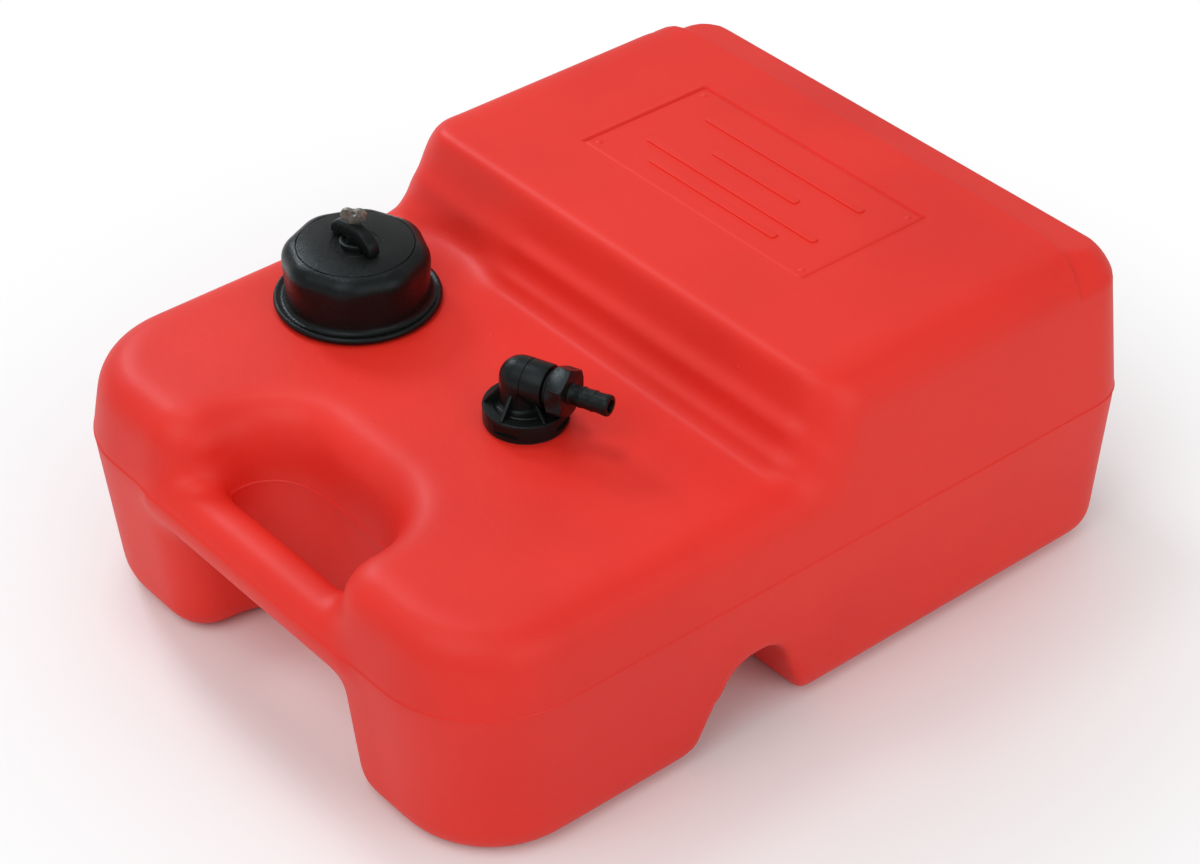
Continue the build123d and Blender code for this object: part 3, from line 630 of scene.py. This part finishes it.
# %% Rear edge
EDGE = 162.5 * MM
EDGE_STEPS = ((-1.4, -0.8, -0.35, 0, 0.25, 0.45, 0.6, 0.95),
              (0, 0.06, 0.2, 0.48, 0.9, 1.6, 2.7, 4.2))
EDGE_END = (EDGE_STEPS[0][-1] - 0.05) * MM
EDGE_REACH = 12 * MM
EDGE_LOW = TOP - 2 * EDGE_REACH
EDGE_TURN = 3.5 * MM
EDGE_STRAIGHT = 98
EDGE_TURN_RUN = 30
RIM = 156.2 * MM
RIM_FALL = 0.2
RIM_NARROWS = 0.05
RIM_NARROW_LEVELS = (142, 155)
UPWARD = (0.5, 0.75)

for step in EDGE_STEPS[0]:
    slice_plane(bm, (0, EDGE + step * MM, TOP), (0, 1, 0),
                lambda c: c.z > EDGE_LOW and abs(c.y - EDGE) < EDGE_REACH)
bm.normal_update()


def mould_height(x, y):
    """How high the mould's surface lies over a place on the ground."""
    place = moulded.ray_cast((x, y, 2 * TOP), (0, 0, -1))[0]
    return place.z if place else 0


for vert in bm.verts:
    beyond = vert.co.y - EDGE
    if beyond < -EDGE_REACH or vert.co.z < EDGE_LOW:
        continue
    on_rim = beyond > EDGE_END
    if on_rim:
        height = min(mould_height(vert.co.x, vert.co.y), RIM - RIM_FALL * beyond)
    else:
        height = (mould_height(vert.co.x, EDGE - EDGE_REACH)
                  - np.interp(beyond / MM, *EDGE_STEPS) * MM)
    if height > EDGE_LOW:
        vert.co.z += (height - vert.co.z) * np.interp(vert.normal.z, UPWARD, (0, 1))
    if on_rim:
        vert.co.x *= 1 - RIM_NARROWS * np.interp(vert.co.z / MM, RIM_NARROW_LEVELS, (0, 1))
    turn = EDGE_TURN * (max(abs(vert.co.x) / MM - EDGE_STRAIGHT, 0) / EDGE_TURN_RUN) ** 2
    vert.co.y -= turn * max(1 - abs(beyond) / EDGE_REACH, 0)
print("with the rear edge:", len(bm.faces), "faces")

# %% [markdown]
# ## Back into the box
# The raised parting line makes the tank a little too wide and long. Its points are scaled
# back across and along until the skin fits the box of the CAD node that it stands for.

# %% Fit to the box
low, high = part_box("tank_shell")
for axis in (0, 1):
    reach = max(abs(vert.co[axis]) for vert in bm.verts)
    fitted = min(-low[axis], high[axis]) / reach
    for vert in bm.verts:
        vert.co[axis] *= min(fitted, 1)
for vert in bm.verts:
    vert.co.z = max(vert.co.z, low[2])
bm.to_mesh(mesh)
bm.free()
print("outer skin with its lines:", len(mesh.polygons), "faces")

# %% [markdown]
# ## The inner skin and the bore
# Taking the inner skin out of the outer one leaves the wall. Under the lowered rim the inner
# skin is drawn in too. The bore is the inner skin's own round face, drawn up through the
# deck. The neck is a separate crisp turning on the deck.

# %% Hollow the shell
UNDER_RIM_FROM = (140, 152)
UNDER_RIM_ABOVE = (125, 142)
INNER_NARROWS = 0.07
INNER_DROP = 5 * MM

for vert in inner.verts:
    under_rim = (np.interp(vert.co.y / MM, UNDER_RIM_FROM, (0, 1))
                 * np.interp(vert.co.z / MM, UNDER_RIM_ABOVE, (0, 1)))
    vert.co.x *= 1 - INNER_NARROWS * under_rim
    vert.co.z -= INNER_DROP * under_rim
bore_roof = [face for face in inner.faces
             if (face.calc_center_median() - FILLER).to_2d().length < 1 * MM
             and face.calc_center_median().z > DECK - 2 * WALL]
print("bore roof faces:", len(bore_roof))
drawn = bmesh.ops.extrude_face_region(inner, geom=bore_roof)
bmesh.ops.translate(inner, vec=(0, 0, NECK_TOP - DECK + 2 * WALL), verts=[
    v for v in drawn["geom"] if isinstance(v, bmesh.types.BMVert)])
bmesh.ops.delete(inner, geom=bore_roof, context="FACES")
bmesh.ops.recalc_face_normals(inner, faces=inner.faces)
print("inner open edges:", sum(not e.is_manifold for e in inner.edges))
combine(tank_body, "DIFFERENCE", link(inner, "fuel_space"))
mount(tank_body, "tank", "red_polyethylene", "tank_shell")

neck = turned([(22, 117.5), (30, 117.5), (29.2, 119), (27.4, 119.5), (26.4, 120.8), (26, 122),
               (26, 129.2), (25.2, 130), (22.8, 130), (22, 129.2)])
bmesh.ops.translate(neck, vec=FILLER, verts=neck.verts)
mount(link(neck, "filler_neck"), "tank", "red_polyethylene", "tank_shell")

# %% [markdown]
# ## More ways to shape a piece
# The hardware needs flat plates on an outline, arcs, and solids that change their outline with
# height. Each of these is a few bmesh steps. The last helper bevels what the cuts left sharp.
# The short edges of the cuts clamp its width to almost nothing, so it leaves the shape alone
# and mainly bends the shading at the edges.

# %% Plates, arcs and bars
def arc(centre, radius, start, end, steps):
    """Points (across, up) on an arc, by its angles in degrees from across towards up."""
    turns = [math.radians(start + (end - start) * step / steps) for step in range(steps + 1)]
    return [(centre[0] + radius * math.cos(turn), centre[1] + radius * math.sin(turn))
            for turn in turns]


def rounded(width, depth, radius, steps=5):
    """The corners of a level rectangle whose four corners are arcs."""
    across, along = width / 2 - radius, depth / 2 - radius
    middles = ((across, along), (-across, along), (-across, -along), (across, -along))
    return [point for turn, middle in enumerate(middles)
            for point in arc(middle, radius, 90 * turn, 90 * turn + 90, steps)]


def plate(outline, low, high, edge=0):
    """A level slab between two heights, with its level edges rounded by a radius."""
    bm = bmesh.new()
    base = bm.faces.new([bm.verts.new((x * MM, y * MM, low * MM)) for x, y in outline])
    drawn = bmesh.ops.extrude_face_region(bm, geom=[base])["geom"]
    bmesh.ops.translate(bm, vec=(0, 0, (high - low) * MM),
                        verts=[part for part in drawn if isinstance(part, bmesh.types.BMVert)])
    tidy(bm)
    if edge:
        sharp = [line for line in bm.edges
                 if line.is_manifold and line.calc_face_angle() > ROUND_ANGLE
                 and abs(line.verts[0].co.z - line.verts[1].co.z) < SLACK]
        bmesh.ops.bevel(bm, geom=sharp, offset=edge * MM, offset_type="OFFSET", affect="EDGES",
                        segments=3, profile=0.5, material=-1, clamp_overlap=True)
    return bm


def placed(bm, place=(0, 0, 0), turn=0, axis="Z"):
    """Turns a bmesh about an axis through the origin and then moves it."""
    bmesh.ops.rotate(bm, cent=(0, 0, 0), matrix=Matrix.Rotation(math.radians(turn), 3, axis),
                     verts=bm.verts)
    bmesh.ops.translate(bm, vec=place, verts=bm.verts)
    return bm


def round_edges(piece, width):
    """Bevels what is still sharp on a finished piece, as far as its short edges allow."""
    step = piece.modifiers.new("edges", "BEVEL")
    step.width = width * MM
    step.segments = 2
    step.limit_method = "ANGLE"
    step.angle_limit = ROUND_ANGLE
    apply_modifiers(piece)


def solid(bm):
    """A bmesh as an object to add to a piece or to cut from one."""
    return link(bm, "tool")


print("shaping helpers are ready")

# %% [markdown]
# ## The marks on the panel
# The sunk panel holds four plain raised bars and a pip in each corner. They stand on its
# floor and are no higher than the face round it, so nothing rubs when the tank is stowed.

# %% Panel marks
BARS = ((70, 84), (81, 112), (96, 56), (113, 104))
BAR_DEPTH = 4.4
PIP_INSET = 6 * MM

panel_floor = (TOP - PANEL_DEPTH) / MM
marks = bmesh.new()


def add_mark(bm, place):
    """Moves one mark to its place and adds it to the others."""
    pattern = bpy.data.meshes.new("mark")
    placed(bm, place).to_mesh(pattern)
    bm.free()
    marks.from_mesh(pattern)
    bpy.data.meshes.remove(pattern)


for y, width in BARS:
    add_mark(plate(rounded(width, BAR_DEPTH, 1.8), panel_floor - 1, panel_floor + 0.7, 0.3),
             ((left + right) / 2, y * MM, 0))
for x in (left + PIP_INSET, right - PIP_INSET):
    for y in (front + PIP_INSET, rear - PIP_INSET):
        add_mark(turned([(0, panel_floor - 1), (1.6, panel_floor - 1), (1.6, panel_floor),
                         (1.1, panel_floor + 0.45), (0, panel_floor + 0.6)], 20), (x, y, 0))
mount(link(marks, "panel_marks"), "tank", "red_polyethylene", "tank_shell")

# %% [markdown]
# ## The cap's cover
# The cover is an eight-sided moulding with a rolled lip round its foot. Each level is a loop
# of points whose distance from the middle follows a rounded octagon, and the loops are then
# bridged. The corners are tight at the top and open out until the foot is nearly round.

# %% Cap cover
FLAT = 32.25
FOOT = 120
CROWN = 149
SHOULDER = 8
EIGHTH = math.pi / 8


def octagon(flat, corner, angle):
    """How far a rounded octagon reaches at an angle, by its flats and its corner radius."""
    from_flat = abs(angle % (2 * EIGHTH) - EIGHTH)
    if flat * math.tan(from_flat) <= (flat - corner) * math.tan(EIGHTH):
        return flat / math.cos(from_flat)
    centre = (flat - corner) / math.cos(EIGHTH)
    from_corner = EIGHTH - from_flat
    return centre * math.cos(from_corner) + math.sqrt(
        corner ** 2 - (centre * math.sin(from_corner)) ** 2)


def stack(levels, steps=192):
    """A solid bridged over level loops: each has a height, flats and a corner radius."""
    bm = bmesh.new()
    loops = []
    for height, flat, corner in levels:
        loop = bmesh.ops.create_circle(bm, segments=steps, radius=1)["verts"]
        for vert in loop:
            reach = octagon(flat, corner, math.atan2(vert.co.y, vert.co.x)) * MM
            vert.co = (vert.co.x * reach, vert.co.y * reach, height * MM)
        loops.append({edge for vert in loop for edge in vert.link_edges})
    for lower, upper in zip(loops, loops[1:]):
        bmesh.ops.bridge_loops(bm, edges=list(lower | upper))
    bmesh.ops.holes_fill(bm, edges=[edge for edge in bm.edges if edge.is_boundary], sides=0)
    return tidy(bm)


lip = [(0, 36.8), (0.3, 37.5), (0.9, 37.9), (1.5, 38), (2.2, 37.8), (2.8, 37.3), (3, 36.7),
       (2.85, 36), (2.4, 35.3), (2.3, 34.6)]
body = [(2.7, 33.6, 33), (3.6, 32.7, 32), (5, 32.4, 31), (8, FLAT, 29), (12, FLAT, 26),
        (16, FLAT, 22), (19, FLAT, 18)]
levels = [(FOOT + up, reach, reach - 0.01) for up, reach in lip]
levels += [(FOOT + up, reach, corner) for up, reach, corner in body]
levels += [(up, across, 18 - 1.4 * (FLAT - across))
           for across, up in arc((FLAT - SHOULDER, CROWN - SHOULDER), SHOULDER, 0, 90, 10)]
cover = link(placed(stack(levels), FILLER), "cap_shell")
hollow = turned([(0, 118), (29.85, 118), (29.85, 125.05), (30.85, 125.05), (30.85, 128.15),
                 (29.85, 128.15), (29.85, 144.8), (5.85, 144.8), (5.85, 147), (26.75, 147),
                 (26.75, 148.85), (27.1, 149.2), (27.1, 151), (0, 151)])
combine(cover, "DIFFERENCE", solid(placed(hollow, FILLER)))
mount(cover, "cover", "black_plastic", "cap_cover")

disc = turned([(5.9, 147.02), (26.4, 147.02), (26.4, 148.65), (26.3, 148.88), (26.05, 149),
               (11.2, 149), (11.05, 148.8), (10.75, 148.8), (10.6, 149), (5.9, 149)], 128)
mount(link(placed(disc, FILLER), "cap_inset_disc"), "cover", "black_plastic", "cap_top_disc")

# %% [markdown]
# ## The lock and its key
# The lock's barrel shows as a ring round the knob. The knob is a half-moon grip on a plug,
# with a slot for the key, and it stands clear of the ring.

# %% Lock
barrel = turned([(4.08, 139.8), (5.8, 139.8), (5.8, 149), (7.2, 149), (7.2, 150.7),
                 (7.0, 151.2), (6.5, 151.4), (5.6, 151.4), (5.3, 151.1), (4.9, 150.9),
                 (4.08, 150.9), (4.08, 146), (4.6, 146), (4.6, 144.8), (4.08, 144.8)])
mount(link(placed(barrel, FILLER), "lock_ring"), "cover", "black_plastic", "lock_barrel")

KEY_TURN = 44
GRIP_HALF = 14.5
GRIP_LOW = 149.6
GRIP_HEIGHT = 10
HEAD_HALF = 7.3
HEAD_ROOM = 151.75
moon = [(GRIP_HALF * math.copysign(abs(across) ** 0.9, across), GRIP_LOW + GRIP_HEIGHT * up ** 0.8)
        for across, up in arc((0, 0), 1, 0.01, 179.99, 44)]
moon += [(-HEAD_HALF, GRIP_LOW), (-HEAD_HALF, HEAD_ROOM), (HEAD_HALF, HEAD_ROOM),
         (HEAD_HALF, GRIP_LOW)]
grip = plate(moon, -3, 3, 0.7)
knob = link(placed(placed(grip, turn=90, axis="X"), FILLER), "lock_grip")
combine(knob, "UNION", solid(placed(turned(
    [(0, 136.4), (2.6, 136.4), (2.6, 139.8), (4, 139.8), (4, 144.8), (3.4, 144.8), (3.4, 146),
     (4, 146), (4, 154.4), (0, 154.4)]), FILLER)))
combine(knob, "DIFFERENCE", solid(placed(
    plate(rounded(5.6, 2.2, 0.4), 143.4, 162), FILLER, KEY_TURN)))
mount(knob, "lock", "black_plastic", "lock_knob")

blade = [(-2.6, 160.6), (-2.6, 145.4), (-1.3, 143.6), (1.3, 143.6), (2.6, 145.4), (2.6, 160.6)]
bow = arc((2.6, 163.8), 3.4, -58, 122, 12)
bow += [(-x, z) for x, z in reversed(bow)]


def in_keyway(bm):
    """Stands a level plate up on its edge in the keyway."""
    return placed(placed(bm, turn=90, axis="X"), FILLER, KEY_TURN)


key = link(in_keyway(plate(blade + bow, -0.9, 0.9, 0.25)), "lock_key")
eye = placed(turned([(0, -2), (1.2, -2), (1.2, 2), (0, 2)], 32), (0, 164.6 * MM, 0))
combine(key, "DIFFERENCE", solid(in_keyway(eye)))
mount(key, "key", "key_metal", "key")

# %% [markdown]
# ## The outlet's elbow
# The elbow is built about its own axes and then turned to face the hose. A collar holds a
# standing body with a round top, six ribs brace it, and the barrel leaves it level. The
# barrel is a hair wider than the body, because solids that only touch don't join well. The
# bores are cut last, so that every solid in them opens at once.

# %% Outlet elbow
OUTLET_TURN = 21
AXIS_HEIGHT = 140.5
BODY = 9.6
BARREL = BODY + 0.06
SETBACK = -2 * MM
COLLAR = 18.8
RIB_END = 18


def at_outlet(bm):
    """Turns a piece from the outlet's own axes to its place on the deck."""
    return placed(bm, OUTLET, OUTLET_TURN)


def along_barrel(profile, steps=96):
    """A turning about the barrel's axis, from (radius, distance) corners."""
    return at_outlet(placed(turned(profile, steps), (0, 0, AXIS_HEIGHT * MM), 90, "Y"))


collar = turned([(0, 120), (18.3, 120), (COLLAR, 120.5), (COLLAR, 127.4), (18.6, 128),
                 (18.2, 128.3), (14.2, 128.5), (13.8, 128.1), (13.3, 128), (12.8, 128.1),
                 (12.4, 128.5), (0, 128.5)], 128)
elbow = link(at_outlet(collar), "outlet_elbow")
stem = [(0, 126), (11.6, 126), (11.6, 128.5), (10.5, 128.9), (9.8, 129.6), (BODY, 130.5)]
stem += arc((0, AXIS_HEIGHT), BODY, 0, 90, 16)[:-1] + [(0, AXIS_HEIGHT + BODY)]
parts = [
    at_outlet(turned([(0, 103), (12.4, 103), (13, 103.6), (13, 121), (0, 121)])),
    at_outlet(placed(turned(stem), (SETBACK, 0, 0))),
    along_barrel([(0, -1.6), (BARREL, -1.6), (BARREL, 1.7), (9.3, 1.9), (9.3, 2.2),
                  (BARREL, 2.4), (BARREL, 11.3), (9.4, 11.8), (8.9, 12), (0, 12)]),
]
for number in range(6):
    turn = math.radians(30 + 60 * number)
    across, back = SETBACK / MM * math.cos(turn), SETBACK / MM * math.sin(turn)
    reach = math.sqrt(RIB_END ** 2 - back ** 2) - across
    rib = plate([(2, 127), (reach, 127), (reach, 128.7), (8.6, 137.5), (2, 137.5)],
                -0.75, 0.75, 0.25)
    rib = placed(placed(rib, turn=90, axis="X"), (0, 0, 0), 30 + 60 * number)
    parts.append(at_outlet(placed(rib, (SETBACK, 0, 0))))
combine(elbow, "UNION", *[solid(part) for part in parts])
cuts = [
    at_outlet(turned([(0, 102), (5.05, 102), (5.05, 115), (3.6, 115), (3.6, AXIS_HEIGHT),
                      (0, AXIS_HEIGHT)], 64)),
    along_barrel([(0, -3.6), (3.6, -3.6), (3.6, 3), (6.45, 3), (6.45, 13), (0, 13)], 64),
]
for number in range(4):
    slot = placed(plate(rounded(2.4, 12, 0.5), 122, 126.5), (COLLAR * MM, 0, 0))
    cuts.append(placed(slot, OUTLET, -67 + 90 * number))
combine(elbow, "DIFFERENCE", *[solid(cut) for cut in cuts])
round_edges(elbow, 0.25)
mount(elbow, "tank", "black_plastic", "outlet_head")

# %% [markdown]
# ## The hose tail
# The tail is a turning with a washer face, a milled hexagon whose corners are chamfered as on
# any nut, and three low barbs that hold the hose.

# %% Hose tail
HEX_FLAT = 10
HEX_CORNER = HEX_FLAT / math.cos(math.pi / 6)

tail = link(along_barrel([
    (0, 3.05), (6.4, 3.05), (6.4, 13.8), (8.9, 13.8), (9.3, 14.1), (9.4, 14.4), (9.3, 14.8),
    (9.0, 15.05), (7, 15.05), (7, 21), (5.2, 21), (5.2, 22.7), (4.7, 23), (4.45, 23.6),
    (4.4, 25), (4.6, 27), (4.75, 27.7), (4.75, 28.1), (4.5, 28.4), (4.45, 30), (4.6, 32.4),
    (4.75, 33.2), (4.75, 33.6), (4.5, 33.9), (4.45, 35.5), (4.6, 37.8), (4.75, 38.8),
    (4.75, 40.2), (4.5, 40.8), (4.2, 41), (0, 41)]), "hose_barb")
nut = plate([(HEX_CORNER * math.cos(math.radians(60 * corner)),
              HEX_CORNER * math.sin(math.radians(60 * corner))) for corner in range(6)],
            14.9, 22.5)
nut = link(at_outlet(placed(nut, (0, 0, AXIS_HEIGHT * MM), 90, "Y")), "nut")
combine(nut, "INTERSECT", solid(along_barrel([
    (0, 14), (10.3, 14), (10.3, 14.9), (11.6, 15.7), (11.6, 21.7), (10.3, 22.5), (0, 23)])))
round_edges(nut, 0.3)
combine(tail, "UNION", nut)
combine(tail, "DIFFERENCE", solid(along_barrel([(0, 2), (2.8, 2), (2.8, 40.6), (3.3, 42),
                                                (0, 42)], 64)))
mount(tail, "tank", "black_plastic", "hose_tail")

# %% [markdown]
# ## Light, floor and backdrop
# A small cool lamp low on the tank's left and another above it give the highlights on the
# ridges and the black mouldings. Neither stands where the level deck would mirror it into the
# camera, which would wash its red out. Two large lamps fill the front and the right side. The
# floor is pale, and fades to plain white away from the tank, so that only a shadow shows.

# %% Light and floor
AIM = Vector((0, 0, 0.08))


def lamp(name, place, size, power, colour=(1, 1, 1)):
    """A round soft lamp that looks at the tank."""
    light = bpy.data.lights.new(name, "AREA")
    light.shape = "DISK"
    light.size = size
    light.energy = power
    light.color = colour
    thing = bpy.data.objects.new(name, light)
    thing.location = place
    thing.rotation_euler = (AIM - Vector(place)).to_track_quat("-Z", "Y").to_euler()
    bpy.context.scene.collection.objects.link(thing)


lamp("key_lamp", (-1.2, 0, 0.92), 0.35, 5.5, (0.86, 0.93, 1))
lamp("top_lamp", (-0.45, -0.05, 1.5), 0.4, 3, (0.95, 0.97, 1))
lamp("front_lamp", (0.35, -1.3, 1.75), 1.6, 13.8)
lamp("right_lamp", (1.7, 0, 0.9), 1.4, 7)

FLOOR_REACH = 8
floor_mesh = bmesh.new()
bmesh.ops.create_grid(floor_mesh, x_segments=1, y_segments=1, size=FLOOR_REACH)
floor = link(floor_mesh, "floor")
floor_finish = Finish("floor", Roughness=0.9)
away = floor_finish.node("VectorMath", {"operation": "LENGTH"},
                         {"Vector": floor_finish.place}, "Value")
seen = floor_finish.node("LightPath", output="Is Camera Ray")
white = floor_finish.node("Emission", None, {"Color": (1, 1, 1, 1), "Strength": 1.0})
floor_finish.paint(Base_Color=(0.86, 0.86, 0.86, 1))
blend = floor_finish.node("MixShader", None, {
    "Fac": seen * floor_finish.ramp(away, 0.18, 0.42), "Shader": Value(
        floor_finish, floor_finish.shader.outputs[0]), "Shader_001": white,
})
floor_finish.tree.links.new(
    blend.socket, floor_finish.tree.nodes["Material Output"].inputs["Surface"])
floor.data.materials.append(floor_finish.material)

# %% [markdown]
# ## The studio's own light
# An even white world lifts every shadow a little, as white walls do.

# %% World and view
world = bpy.data.worlds.new("studio")
world.use_nodes = True
bpy.context.scene.world = world
world.node_tree.nodes["Background"].inputs["Color"].default_value = (1, 1, 1, 1)
world.node_tree.nodes["Background"].inputs["Strength"].default_value = 0.56
bpy.context.scene.view_settings.view_transform = "Standard"
print("view:", bpy.context.scene.view_settings.view_transform)
